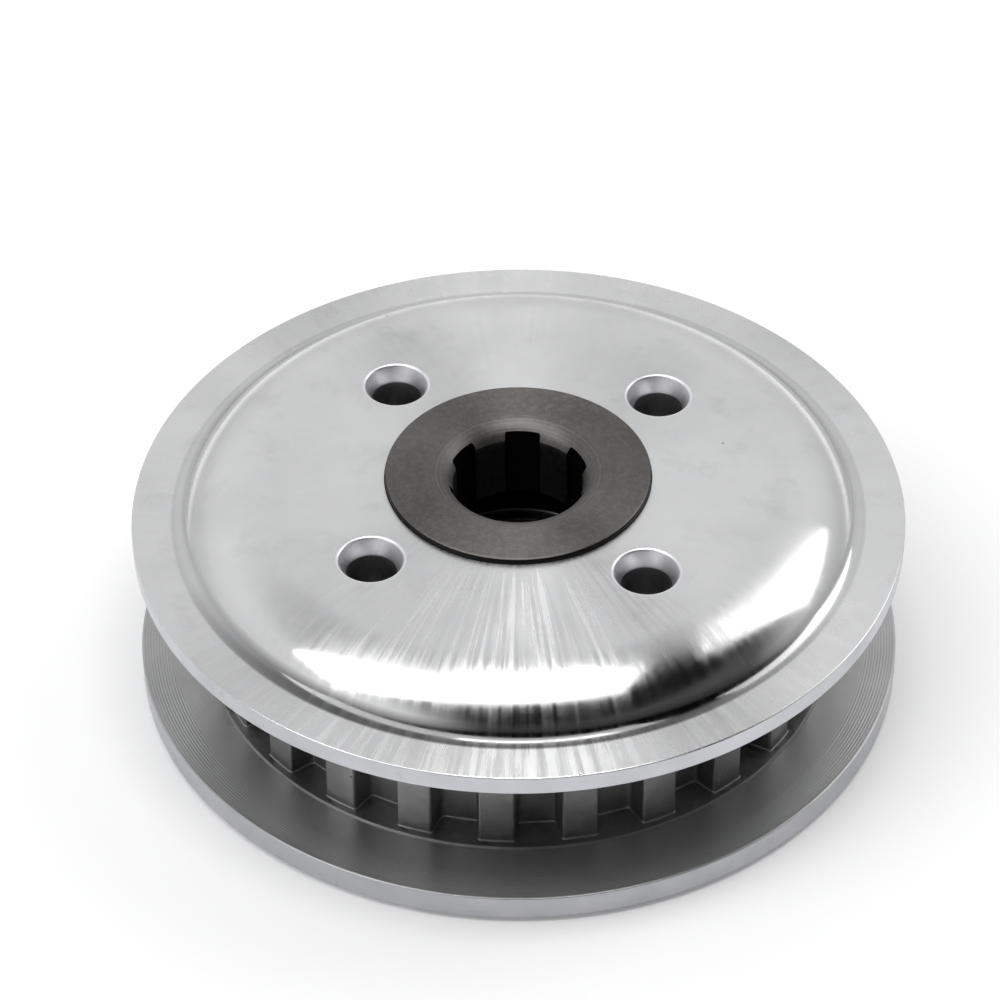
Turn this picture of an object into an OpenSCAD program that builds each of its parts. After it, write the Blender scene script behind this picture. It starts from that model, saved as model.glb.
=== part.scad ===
// Clutch hub and pressure wheel of a small motorcycle: a domed hub with a splined steel
// boss sits on a toothed pressure wheel, and four springs pull the two flanges together.
// Millimetres. +Z is the shaft axis, z = 0 is the flat rim that the wheel stands on.

/* [Flanges] */
// Outside diameter of both flanges
flange_d = 102; // [101:0.5:104]
// Height of the machined friction face on the pressure wheel
lower_face_z = 4.2; // [4:0.1:4.4]
// Inside diameter of the two friction faces
friction_inner_d = 84.8; // [84:0.2:86]
// Height of the as-cast floor between the friction face and the drum
floor_z = 4.5; // [4.5:0.1:4.8]
// Height of the friction face under the hub flange
seat_z = 22.9; // [22.5:0.1:23.3]
// Height of the step inside that face, where the hub seats on the drum
drum_seat_z = 22.6; // [22.3:0.1:22.7]
// Thickness of the hub flange at its rim
rim_t = 2.7; // [2.5:0.1:3]
// Chamfer under the rim of the pressure wheel
foot_chamfer = 0.9; // [0.5:0.1:1.2]

/* [Dome] */
// Height of the dome above the flat land
dome_h = 5.2; // [4.8:0.1:5.6]
// Outside diameter of the fillet around the dome
land_d = 91.2; // [90:0.2:92]
// Radius of the convex shoulder
shoulder_r = 12; // [11:0.5:13]
// Radius of the concave fillet at the foot of the dome
dome_fillet_r = 2.4; // [2:0.2:3]
// Height that the steel boss stands proud of the dome
boss_proud = 0.8; // [0.5:0.1:1]

/* [Toothed drum] */
// Number of teeth that carry the plates
teeth = 24; // [20:4:28]
// Diameter over the teeth
tooth_tip_d = 82.4; // [81:0.2:83]
// Diameter at the valleys
tooth_root_d = 75.6; // [75:0.2:76]
// Width of a tooth at its tip
tooth_w = 4.6; // [4:0.1:5]
// Inside diameter of the drum
drum_bore_d = 69; // [68:0.5:70]

/* [Posts and pockets] */
// Pitch circle of the four posts, springs and bolts
post_pcd = 50; // [50:0.1:50.4]
// Diameter of a post
post_d = 11.7; // [11.4:0.1:11.7]
// Height of the lower end of a post
post_end_z = 6.5; // [6.3:0.1:6.8]
// Diameter of the guide hole that a post slides in
guide_d = 12; // [12:0.1:12.2]
// Bore of a spring pocket
pocket_d = 18.6; // [18.6:0.1:19]
// Height of the seat of a spring
pocket_seat_z = 21; // [20.8:0.1:21.5]
// Height of the top of a spring pocket
pocket_top_z = 24.4; // [24:0.1:24.6]
// Clear diameter of a hole in the dome
dome_hole_d = 6.6; // [6.4:0.1:6.8]
// Diameter of the flared mouth of a hole in the dome
hole_mouth_d = 9; // [8.6:0.1:9.2]

/* [Spline] */
// Number of splines
splines = 6; // [6]
// Inside diameter of the spline
spline_minor_d = 17; // [16.5:0.1:17.5]
// Outside diameter of the spline
spline_major_d = 18.5; // [18.3:0.1:18.7]
// Width of a spline slot
slot_w = 4.65; // [4.4:0.05:4.8]
// Diameter of the steel boss flange
boss_d = 35; // [34:0.5:36]
// Radius of the rounded mouth of the splined bore
mouth_round_r = 2.9; // [2.6:0.1:3]

/* [Springs and bolts] */
// Wire diameter
wire_d = 2; // [1.8:0.1:2]
// Mean diameter of the coil
coil_d = 15.2; // [15:0.1:15.4]
// Number of turns, with one closed turn at each end
turns = 4.5; // [4.5]
// Thickness of a spring retainer
retainer_t = 1.6; // [1.4:0.1:1.7]
// Across flats of the bolt head
bolt_af = 10; // [9:0.5:10]

/* [Release bearing] */
// Bore of the bearing
bearing_bore = 10; // [10]
// Outside diameter of the bearing
bearing_d = 26; // [26]
// Width of the bearing
bearing_w = 8; // [8]
// Number of balls
balls = 7; // [7]
// Diameter of a ball
ball_d = 4.76; // [4.76]
// Diameter of the push rod seat
rod_seat_d = 8.2; // [8:0.1:8.4]

/* [Hidden] */
$fn = 96;

FIT = 0.01;                                    // gap left between two pieces that are pressed together
EDGE = 0.3;                                    // small broken edge
flange_r = flange_d / 2;
post_r = post_pcd / 2;

// hub levels
land_z = seat_z + rim_t;
dome_z = land_z + dome_h;
boss_z = dome_z + boss_proud;
boss_flange_t = 3.4;
boss_seat_z = boss_z - boss_flange_t;
boss_end_z = 20;
barrel_r = 12.5;
shell_t = 3.9;                                 // wall of the dome
ceiling_z = dome_z - shell_t;
cavity_r = 36.8;
centre_z = ceiling_z - 1.7;                    // underside of the thick centre
centre_r = 19;
shoulder_sum = shoulder_r + dome_fillet_r;
shoulder_angle = acos(1 - dome_h / shoulder_sum);
shoulder_start_r = land_d / 2 - shoulder_sum * sin(shoulder_angle);
key_w = 5;
key_r = 16.4;
key_h = 1.4;

// pressure wheel levels
web_z = 5.2;
web_under_z = 1.8;
core_z = 3.6;                                  // inside the web, where ribs and cups grow out of it
rib_z = 0.6;
rib_w = 3;
rim_inner_r = 44;
pocket_wall = 1.8;
bearing_z = 3.6;
bearing_top = bearing_z + bearing_w;
bearing_boss_r = 16.2;
bearing_boss_z = 13.6;
groove_t = 1.3;
groove_r = 13.8;
shoulder_hole_r = 10.5;

// bearing
ball_pitch_r = (bearing_bore + bearing_d) / 4;
ball_z = bearing_z + bearing_w / 2;
race_r = ball_d / 2 + 0.05;
outer_land_r = 10.6;
inner_land_r = 7.4;
cage_inner_r = 8;
cage_outer_r = 10;
cage_h = 6.4;
ring_edge = 0.4;

// push piece
push_head_r = 8;
push_top_z = 13.9;
push_end_z = 3.9;
rod_seat_depth = 1.4;

// springs and bolts
spring_low_z = post_end_z;
spring_gap = 0.02;
retainer_r = 8.9;
collar_r = 6.35;
collar_h = 0.8;
bolt_seat_z = post_end_z - retainer_t;
bolt_flange_t = 1.2;
bolt_flange_r = 6.4;
bolt_head_z = 0.8;
bolt_tip_z = 19;
thread_r = 3;
ledge_z = dome_z - 2.8;
flare_h = 2.3;

// Places a child on each of the four post axes.
module at_posts() {
    for (i = [0:3]) at_post(i) children();
}

module at_post(i) {
    rotate(45 + 90 * i) translate([post_r, 0, 0]) children();
}

// Points of an arc from angle a to angle b, both in degrees.
function arc(cx, cz, r, a, b, steps) =
    [for (i = [0:steps]) let (t = a + (b - a) * i / steps) [cx + r * cos(t), cz + r * sin(t)]];

// ---- pressure wheel ----

module wheel_section() {
    polygon([
        [shoulder_hole_r, rib_z], [bearing_boss_r, rib_z], [bearing_boss_r, web_under_z],
        [rim_inner_r - 1, web_under_z], [rim_inner_r, 0], [flange_r - foot_chamfer, 0],
        [flange_r, foot_chamfer], [flange_r, lower_face_z - EDGE], [flange_r - EDGE, lower_face_z],
        [friction_inner_d / 2, lower_face_z], [friction_inner_d / 2 - 0.2, floor_z],
        [drum_bore_d / 2 - FIT, floor_z], [drum_bore_d / 2 - FIT, web_z], [bearing_boss_r, web_z],
        [bearing_boss_r, bearing_boss_z - EDGE], [bearing_boss_r - EDGE, bearing_boss_z],
        [bearing_d / 2 + FIT, bearing_boss_z], [bearing_d / 2 + FIT, bearing_top + groove_t],
        [groove_r, bearing_top + groove_t], [groove_r, bearing_top],
        [bearing_d / 2 + FIT, bearing_top], [bearing_d / 2 + FIT, bearing_z],
        [shoulder_hole_r, bearing_z]
    ]);
}

// Outline of the drum: a ring with the teeth on it.
module drum_outline() {
    difference() {
        intersection() {
            circle(d = tooth_tip_d);
            union() {
                circle(d = tooth_root_d);
                for (i = [0:teeth - 1]) rotate(360 / teeth * i) tooth_outline();
            }
        }
        circle(d = drum_bore_d);
    }
}

module tooth_outline() {
    foot_w = tooth_w + 0.5;
    inner = drum_bore_d / 2 + 1;
    outer = tooth_tip_d / 2 + 1;
    polygon([[inner, -foot_w / 2], [outer, -tooth_w / 2], [outer, tooth_w / 2], [inner, foot_w / 2]]);
}

// The outside of a spring cup between two heights.
module cup_body(low, high) {
    translate([0, 0, low]) cylinder(d = pocket_d + 2 * pocket_wall, h = high - low);
}

module pocket_bore() {
    translate([0, 0, -1]) cylinder(d = pocket_d, h = pocket_seat_z + 1);
    translate([0, 0, -1]) cylinder(d = guide_d, h = pocket_top_z + 2);
}

// One rib under the web, from a radius out into the rim.
module under_rib(from_r) {
    translate([from_r, -rib_w / 2, rib_z]) cube([rim_inner_r + 1 - from_r, rib_w, core_z - rib_z]);
}

// Flange, web and bearing boss. The drum and the cups of the same casting are nodes of their own.
module pressure_wheel() {
    color("gainsboro") difference() {
        union() {
            rotate_extrude() wheel_section();
            at_posts() cup_body(rib_z, core_z);
            for (i = [0:3]) {
                rotate(90 * i) under_rib(bearing_boss_r - 1);
                rotate(45 + 90 * i) under_rib(post_r + pocket_d / 2 + 0.5);
            }
        }
        at_posts() pocket_bore();
    }
}

module toothed_drum() {
    color("lightgray") translate([0, 0, floor_z + FIT])
        linear_extrude(drum_seat_z - floor_z - FIT) drum_outline();
}

module spring_cup(i) {
    color("darkgray") difference() {
        intersection() {
            at_post(i) cup_body(web_z + FIT, pocket_top_z);
            translate([0, 0, web_z]) cylinder(d = drum_bore_d - 2 * FIT, h = pocket_top_z);
        }
        at_post(i) pocket_bore();
        cylinder(r = bearing_boss_r + FIT, h = bearing_boss_z + FIT);
    }
}

// ---- hub ----

module hub_section() {
    land_r = land_d / 2;
    polygon(concat(
        [
            [barrel_r + FIT, centre_z], [centre_r, centre_z], [centre_r + 1, ceiling_z],
            [cavity_r - 1, ceiling_z], [cavity_r, ceiling_z - 1], [cavity_r, drum_seat_z],
            [friction_inner_d / 2 - 0.2, drum_seat_z], [friction_inner_d / 2, seat_z],
            [flange_r - EDGE, seat_z], [flange_r, seat_z + EDGE], [flange_r, land_z - EDGE],
            [flange_r - EDGE, land_z]
        ],
        arc(land_r, land_z + dome_fillet_r, dome_fillet_r, 270, 270 - shoulder_angle, 5),
        arc(shoulder_start_r, dome_z - shoulder_r, shoulder_r, 90 - shoulder_angle, 90, 10),
        [
            [boss_d / 2 + FIT, dome_z], [boss_d / 2 + FIT, boss_seat_z],
            [barrel_r + FIT, boss_seat_z]
        ]
    ));
}

// Cutter for a hole in the dome: a clear bore that flares steeply to its mouth.
module dome_hole() {
    hole_r = dome_hole_d / 2;
    mouth_r = hole_mouth_d / 2;
    rotate_extrude() polygon([
        [0, ledge_z], [hole_r, ledge_z], [hole_r, dome_z - flare_h], [mouth_r - 0.2, dome_z - EDGE],
        [mouth_r, dome_z], [mouth_r, dome_z + 1], [0, dome_z + 1]
    ]);
}

// The four keys under the boss flange that carry the torque into the casting.
module boss_keys(gap) {
    for (i = [0:3]) rotate(90 * i)
        translate([barrel_r - 1, -key_w / 2 - gap, boss_seat_z - key_h - gap])
            cube([key_r - barrel_r + 1 + gap, key_w + 2 * gap, key_h + 1]);
}

module hub_casting() {
    rib_t = 4;
    rib_low_z = pocket_top_z + 0.5;
    color("lightgrey") difference() {
        union() {
            rotate_extrude() hub_section();
            at_posts() translate([0, 0, post_end_z]) cylinder(d = post_d, h = ceiling_z - post_end_z + 1);
            for (i = [0:3]) rotate(45 + 90 * i)
                translate([centre_r - 1, -rib_t / 2, rib_low_z])
                    cube([cavity_r - centre_r + 1.5, rib_t, ceiling_z - rib_low_z + 1]);
        }
        at_posts() {
            translate([0, 0, post_end_z - 1]) cylinder(r = thread_r, h = ledge_z - post_end_z + 2);
            dome_hole();
        }
        boss_keys(FIT);
    }
}

module spline_outline() {
    circle(d = spline_minor_d);
    intersection() {
        circle(d = spline_major_d);
        for (i = [0:splines / 2 - 1]) rotate(360 / splines * i)
            square([slot_w, spline_major_d + 2], center = true);
    }
}

module splined_boss() {
    bore_r = spline_minor_d / 2;
    mouth_r = bore_r + mouth_round_r;
    mouth_z = boss_z - mouth_round_r;
    color("dimgrey") difference() {
        union() {
            rotate_extrude() polygon([
                [0, boss_end_z], [barrel_r - 0.8, boss_end_z], [barrel_r, boss_end_z + 0.8],
                [barrel_r, boss_seat_z], [boss_d / 2, boss_seat_z], [boss_d / 2, boss_z - 0.4],
                [boss_d / 2 - 0.4, boss_z], [0, boss_z]
            ]);
            boss_keys(0);
        }
        translate([0, 0, boss_end_z - 1]) linear_extrude(boss_z - boss_end_z + 2) spline_outline();
        rotate_extrude() polygon(concat(
            [[0, mouth_z]],
            arc(mouth_r, mouth_z, mouth_round_r, 180, 90, 8),
            [[mouth_r, boss_z + 1], [0, boss_z + 1]]
        ));
    }
}

// ---- springs, retainers and bolts ----

// Height of the wire's centre above the first coil, after u turns.
coil_rise = pocket_seat_z - spring_low_z - wire_d - 2 * spring_gap;
end_pitch = wire_d + 0.05;
mid_pitch = (coil_rise - 2 * end_pitch) / (turns - 2);
function coil_z(u) =
    u < 1 ? end_pitch * u :
    u > turns - 1 ? coil_rise - end_pitch * (turns - u) :
    end_pitch + mid_pitch * (u - 1);

module clutch_spring() {
    steps = 16 * turns;
    sides = 6;
    points = [
        for (i = [0:steps], j = [0:sides - 1])
            let (
                u = i / 16,
                a = 360 * u,
                b = 360 * j / sides,
                r = coil_d / 2 + wire_d / 2 * cos(b)
            )
            [r * cos(a), r * sin(a), spring_low_z + spring_gap + wire_d / 2 + coil_z(u) + wire_d / 2 * sin(b)]
    ];
    first = [for (j = [0:sides - 1]) j];
    last = [for (j = [sides - 1:-1:0]) steps * sides + j];
    walls = [
        for (i = [0:steps - 1], j = [0:sides - 1])
            let (a = i * sides + j, b = i * sides + (j + 1) % sides)
            each [[a, a + sides, b], [b, a + sides, b + sides]]
    ];
    color("slategrey") polyhedron(points, concat([first], walls, [last]));
}

module spring_retainer() {
    hole_r = thread_r + 0.2;
    color("silver") rotate_extrude() polygon([
        [hole_r, bolt_seat_z], [retainer_r - EDGE, bolt_seat_z], [retainer_r, bolt_seat_z + EDGE],
        [retainer_r, post_end_z], [collar_r, post_end_z], [collar_r - 0.1, post_end_z + collar_h],
        [post_d / 2 + 0.1, post_end_z + collar_h], [post_d / 2 + 0.1, post_end_z], [hole_r, post_end_z]
    ]);
}

module spring_bolt() {
    shank_r = thread_r - 0.02;
    tip = 1;
    color("goldenrod") union() {
        intersection() {
            translate([0, 0, bolt_head_z])
                cylinder(r = bolt_af / 2 / cos(30), h = bolt_seat_z - bolt_head_z - 0.5, $fn = 6);
            translate([0, 0, bolt_head_z]) cylinder(r1 = bolt_af / 2 - 0.2, r2 = bolt_af, h = 4);
        }
        rotate_extrude() polygon([
            [0, bolt_seat_z - bolt_flange_t], [bolt_flange_r - 0.6, bolt_seat_z - bolt_flange_t],
            [bolt_flange_r, bolt_seat_z - bolt_flange_t / 2], [bolt_flange_r, bolt_seat_z],
            [shank_r, bolt_seat_z], [shank_r, bolt_tip_z - tip], [shank_r - tip, bolt_tip_z], [0, bolt_tip_z]
        ]);
    }
}

// ---- release bearing ----

// Section of a bearing ring between two radii, with the ball race cut out of it.
module ring_section(inner, outer) {
    difference() {
        polygon([
            [inner + ring_edge, bearing_z], [outer - ring_edge, bearing_z], [outer, bearing_z + ring_edge],
            [outer, bearing_top - ring_edge], [outer - ring_edge, bearing_top],
            [inner + ring_edge, bearing_top], [inner, bearing_top - ring_edge], [inner, bearing_z + ring_edge]
        ]);
        translate([ball_pitch_r, ball_z]) circle(r = race_r);
    }
}

module bearing_outer_ring() {
    color("lightsteelblue") rotate_extrude() ring_section(outer_land_r, bearing_d / 2);
}

module bearing_inner_ring() {
    color("lightsteelblue") rotate_extrude() ring_section(bearing_bore / 2, inner_land_r);
}

module at_balls() {
    for (i = [0:balls - 1]) rotate(360 / balls * i) translate([ball_pitch_r, 0, ball_z]) children();
}

module bearing_cage() {
    color("peru") difference() {
        translate([0, 0, ball_z - cage_h / 2]) cylinder(r = cage_outer_r, h = cage_h);
        translate([0, 0, bearing_z]) cylinder(r = cage_inner_r, h = bearing_w);
        at_balls() sphere(d = ball_d + 0.14);
    }
}

module bearing_balls() {
    color("white") at_balls() sphere(d = ball_d);
}

module bearing_circlip() {
    clip_r = groove_r - 0.05;
    clip_inner_r = 11.8;
    gap_a = 22;
    lug_r = 1.6;
    lug_at = clip_inner_r + 0.2;
    color("darkslategrey")
    translate([0, 0, bearing_top + 0.05]) linear_extrude(groove_t - 0.1) difference() {
        union() {
            difference() {
                circle(r = clip_r);
                circle(r = clip_inner_r);
                polygon([[0, 0], [20 * cos(gap_a), -20 * sin(gap_a)], [20 * cos(gap_a), 20 * sin(gap_a)]]);
            }
            intersection() {
                circle(r = clip_r);
                for (s = [-1, 1]) rotate(s * (gap_a + 3)) translate([lug_at, 0]) circle(r = lug_r);
            }
        }
        for (s = [-1, 1]) rotate(s * (gap_a + 3)) translate([lug_at - 0.2, 0]) circle(r = 0.7);
    }
}

module push_piece() {
    stem_r = bearing_bore / 2 - FIT;
    color("steelblue") rotate_extrude() polygon([
        [0, push_end_z], [stem_r - 0.5, push_end_z], [stem_r, push_end_z + 0.5], [stem_r, bearing_top],
        [push_head_r - 0.4, bearing_top], [push_head_r, bearing_top + 0.4], [push_head_r, push_top_z - 0.6],
        [push_head_r - 0.6, push_top_z], [rod_seat_d / 2, push_top_z],
        [rod_seat_d / 2, push_top_z - rod_seat_depth], [0, push_top_z - rod_seat_depth]
    ]);
}

pressure_wheel();
toothed_drum();
hub_casting();
splined_boss();
for (i = [0:3]) {
    spring_cup(i);
    at_post(i) clutch_spring();
    at_post(i) spring_retainer();
    at_post(i) spring_bolt();
}
bearing_outer_ring();
bearing_inner_ring();
bearing_cage();
bearing_balls();
bearing_circlip();
push_piece();
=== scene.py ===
import math

import bmesh
import bpy
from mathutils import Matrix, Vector


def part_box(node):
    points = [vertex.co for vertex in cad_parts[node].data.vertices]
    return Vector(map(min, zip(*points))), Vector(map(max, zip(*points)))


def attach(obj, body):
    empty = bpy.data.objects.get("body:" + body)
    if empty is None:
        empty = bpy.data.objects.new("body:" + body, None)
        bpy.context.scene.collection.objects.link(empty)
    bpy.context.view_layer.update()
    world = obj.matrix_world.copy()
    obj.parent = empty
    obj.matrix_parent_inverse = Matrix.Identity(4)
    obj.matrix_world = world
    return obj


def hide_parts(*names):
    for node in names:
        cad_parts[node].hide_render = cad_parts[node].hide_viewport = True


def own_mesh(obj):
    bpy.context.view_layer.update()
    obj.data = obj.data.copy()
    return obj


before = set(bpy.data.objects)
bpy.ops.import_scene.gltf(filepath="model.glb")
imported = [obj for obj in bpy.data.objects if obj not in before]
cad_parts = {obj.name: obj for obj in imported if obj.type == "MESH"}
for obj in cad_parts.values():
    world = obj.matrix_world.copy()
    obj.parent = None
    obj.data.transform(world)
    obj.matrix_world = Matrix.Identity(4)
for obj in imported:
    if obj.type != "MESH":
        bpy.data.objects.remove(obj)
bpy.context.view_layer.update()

# Lengths are in millimetres and become metres in the mesh builders. The frame gives every size
# that a node's box shows; the others repeat the part's own dimensions.
MM = 0.001
FULL_TURN = 2 * math.pi


def box_mm(node):
    low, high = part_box(node)
    return low / MM, high / MM


WHEEL_HIGH = box_mm("pressure_wheel")[1]
HUB_LOW, HUB_HIGH = box_mm("hub_casting")
BOSS_LOW, BOSS_HIGH = box_mm("splined_boss")
PUSH_LOW, PUSH_HIGH = box_mm("push_piece")
RACE_LOW, RACE_HIGH = box_mm("bearing_outer_ring")
CLIP_LOW, CLIP_HIGH = box_mm("bearing_circlip")

# Hub: the dome stands on a flat land, and the drum's top fits under the land's flange.
FLANGE_R = WHEEL_HIGH.x
DOME_Z = HUB_HIGH.z
LAND_Z = DOME_Z - 5.2
LAND_R = 45.6
SEAT_Z = LAND_Z - 2.7
DRUM_SEAT_Z = SEAT_Z - 0.3
CEILING_Z = DOME_Z - 3.9
SKIRT_R = 36.8

# Four posts, their holes, and the bolts in them.
POST_RING_R = 25
POST_R = 5.85
POST_END_Z = HUB_LOW.z
THREAD_R = 3
HOLE_R = 3.3
HOLE_MOUTH_R = 4.27
HOLE_FLARE_H = 2.3
RETAINER_H = 1.6

# Splined boss: a wide head on a barrel, with a rounded mouth and six slots.
BOSS_Z = BOSS_HIGH.z
BOSS_R = BOSS_HIGH.x
BOSS_SEAT_Z = BOSS_Z - 3.4
BARREL_R = 12.5
SPLINES = 6
MINOR_R, MAJOR_R = 8.5, 9.25
SLOT_W = 4.65
MOUTH_ROUND_R = 2.9
MOUTH_R = MINOR_R + MOUTH_ROUND_R

# Pressure wheel: a friction face round a slightly higher floor that carries the toothed drum.
FACE_Z = 4.2
FLOOR_Z = 4.5
FRICTION_R = 42.4
TEETH = 24
TIP_R = 41.2
ROOT_R = 37.8
DRUM_R = 34.5
TOOTH_W = 4.6
FOOT_R = 0.25

# Spring cups, open from below, with a guide hole for the post.
CUP_R = 11.1
CUP_TOP_Z = box_mm("spring_cup_1")[1].z
POCKET_R = 9.3
POCKET_SEAT_Z = 21
GUIDE_R = 6
SPRING_LOW, SPRING_HIGH = POST_END_Z + 0.02, POCKET_SEAT_Z - 0.02

# Release bearing.
BALLS = 7
BALL_R = 2.38
BALL_RING_R = 9
BALL_Z = (RACE_LOW.z + RACE_HIGH.z) / 2


# ---- mesh builders ----


def arc(cx, cy, r, start, end, steps):
    """Corners with no radius along an arc, from one angle to another in degrees."""
    angles = [math.radians(start + (end - start) * i / steps) for i in range(steps + 1)]
    return [(cx + r * math.cos(a), cy + r * math.sin(a), 0) for a in angles]


def fillet(corners, closed=True, step_deg=10):
    """Points along a path of (x, y, radius) corners, each rounded to its radius."""
    points = []
    count = len(corners)
    for i, (x, y, r) in enumerate(corners):
        here = Vector((x, y))
        if r <= 0 or (not closed and i in (0, count - 1)):
            points.append((x, y))
            continue
        back = Vector(corners[i - 1][:2]) - here
        ahead = Vector(corners[(i + 1) % count][:2]) - here
        u, v = back.normalized(), ahead.normalized()
        half = u.angle(v) / 2
        turn = math.pi - 2 * half
        if turn < 0.02:
            points.append((x, y))
            continue
        reach = min(r / math.tan(half), 0.49 * back.length, 0.49 * ahead.length)
        radius = reach * math.tan(half)
        centre = here + (u + v).normalized() * (radius / math.sin(half))
        first = here + u * reach - centre
        last = here + v * reach - centre
        side = 1 if first.x * last.y - first.y * last.x > 0 else -1
        steps = max(2, math.ceil(math.degrees(turn) / step_deg))
        for k in range(steps + 1):
            a = side * turn * k / steps
            points.append((
                centre.x + first.x * math.cos(a) - first.y * math.sin(a),
                centre.y + first.x * math.sin(a) + first.y * math.cos(a),
            ))
    return points


def mesh_object(name, vertices, faces):
    mesh = bpy.data.meshes.new(name)
    mesh.from_pydata([(x * MM, y * MM, z * MM) for x, y, z in vertices], [], faces)
    obj = bpy.data.objects.new(name, mesh)
    bpy.context.scene.collection.objects.link(obj)
    return obj


def loft(name, rings, closed=True):
    """Skins rings of equal count. A closed loft joins its last ring to its first; an open one is capped."""
    n = len(rings[0])
    vertices = [p for ring in rings for p in ring]
    faces = []
    for i in range(len(rings) if closed else len(rings) - 1):
        low, high = i * n, (i + 1) % len(rings) * n
        faces += [(low + k, low + (k + 1) % n, high + (k + 1) % n, high + k) for k in range(n)]
    if not closed:
        faces.append(tuple(range(n)))
        faces.append(tuple(range(len(vertices) - 1, len(vertices) - n - 1, -1)))
    obj = mesh_object(name, vertices, faces)
    tidy(obj)
    return obj


def circle(r, z, n, start=0.0):
    angles = [start + FULL_TURN * k / n for k in range(n)]
    return [(r * math.cos(a), r * math.sin(a), z) for a in angles]


def revolve(name, corners, n=192, closed=True):
    """Turns a profile of (r, z, radius) corners about Z. An open profile starts and ends near the axis."""
    return loft(name, [circle(r, z, n) for r, z in fillet(corners, closed)], closed)


def tidy(obj, sharp_deg=32):
    """Points the normals outward and shades smooth, with a hard edge wherever the surface turns sharply."""
    bm = bmesh.new()
    bm.from_mesh(obj.data)
    bmesh.ops.remove_doubles(bm, verts=bm.verts, dist=1e-7)
    bmesh.ops.recalc_face_normals(bm, faces=bm.faces)
    bm.to_mesh(obj.data)
    bm.free()
    obj.data.shade_smooth()
    obj.data.set_sharp_from_angle(angle=math.radians(sharp_deg))


def moved(obj, x=0, y=0, z=0, turn_deg=0):
    """Moves a mesh by (x, y, z) millimetres and then turns it about Z, inside its own data."""
    c, s = math.cos(math.radians(turn_deg)), math.sin(math.radians(turn_deg))
    for v in obj.data.vertices:
        px, py = v.co.x + x * MM, v.co.y + y * MM
        v.co = (px * c - py * s, px * s + py * c, v.co.z + z * MM)
    obj.data.update()
    return obj


def at_posts(make):
    """Four copies of what make() builds, one on each post axis."""
    return [moved(make(), x=POST_RING_R, turn_deg=45 + 90 * i) for i in range(4)]


def block(name, size, corner, bevel):
    """A beveled bar from its lowest corner."""
    bm = bmesh.new()
    bmesh.ops.create_cube(bm, size=1)
    for v in bm.verts:
        v.co = Vector([(c + s * (p + 0.5)) * MM for c, s, p in zip(corner, size, v.co)])
    bmesh.ops.bevel(bm, geom=bm.edges[:], offset=bevel * MM, segments=2, profile=0.5, affect="EDGES")
    mesh = bpy.data.meshes.new(name)
    bm.to_mesh(mesh)
    bm.free()
    obj = bpy.data.objects.new(name, mesh)
    bpy.context.scene.collection.objects.link(obj)
    return obj


def join(name, objects):
    """One object that holds the meshes of several."""
    bm = bmesh.new()
    for o in objects:
        bm.from_mesh(o.data)
        bpy.data.objects.remove(o)
    mesh = bpy.data.meshes.new(name)
    bm.to_mesh(mesh)
    bm.free()
    obj = bpy.data.objects.new(name, mesh)
    bpy.context.scene.collection.objects.link(obj)
    return obj


def cut(obj, operation, tools):
    """Adds or subtracts a list of solids that don't touch each other."""
    tool = join("tool", tools)
    modifier = obj.modifiers.new("cut", "BOOLEAN")
    modifier.operation = operation
    modifier.solver = "EXACT"
    modifier.object = tool
    result = bpy.data.meshes.new_from_object(obj.evaluated_get(bpy.context.evaluated_depsgraph_get()))
    obj.modifiers.clear()
    obj.data = result
    result.name = obj.name
    bpy.data.objects.remove(tool)
    return obj


def weigh_normals(obj):
    """Lets large flat faces set the normals at their edges, so that holes leave no dents in reflections."""
    modifier = obj.modifiers.new("normals", "WEIGHTED_NORMAL")
    modifier.mode = "FACE_AREA"
    modifier.weight = 50
    modifier.thresh = 0.0
    modifier.keep_sharp = True
    result = bpy.data.meshes.new_from_object(obj.evaluated_get(bpy.context.evaluated_depsgraph_get()))
    obj.modifiers.clear()
    obj.data = result
    result.name = obj.name


# ---- materials ----


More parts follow.
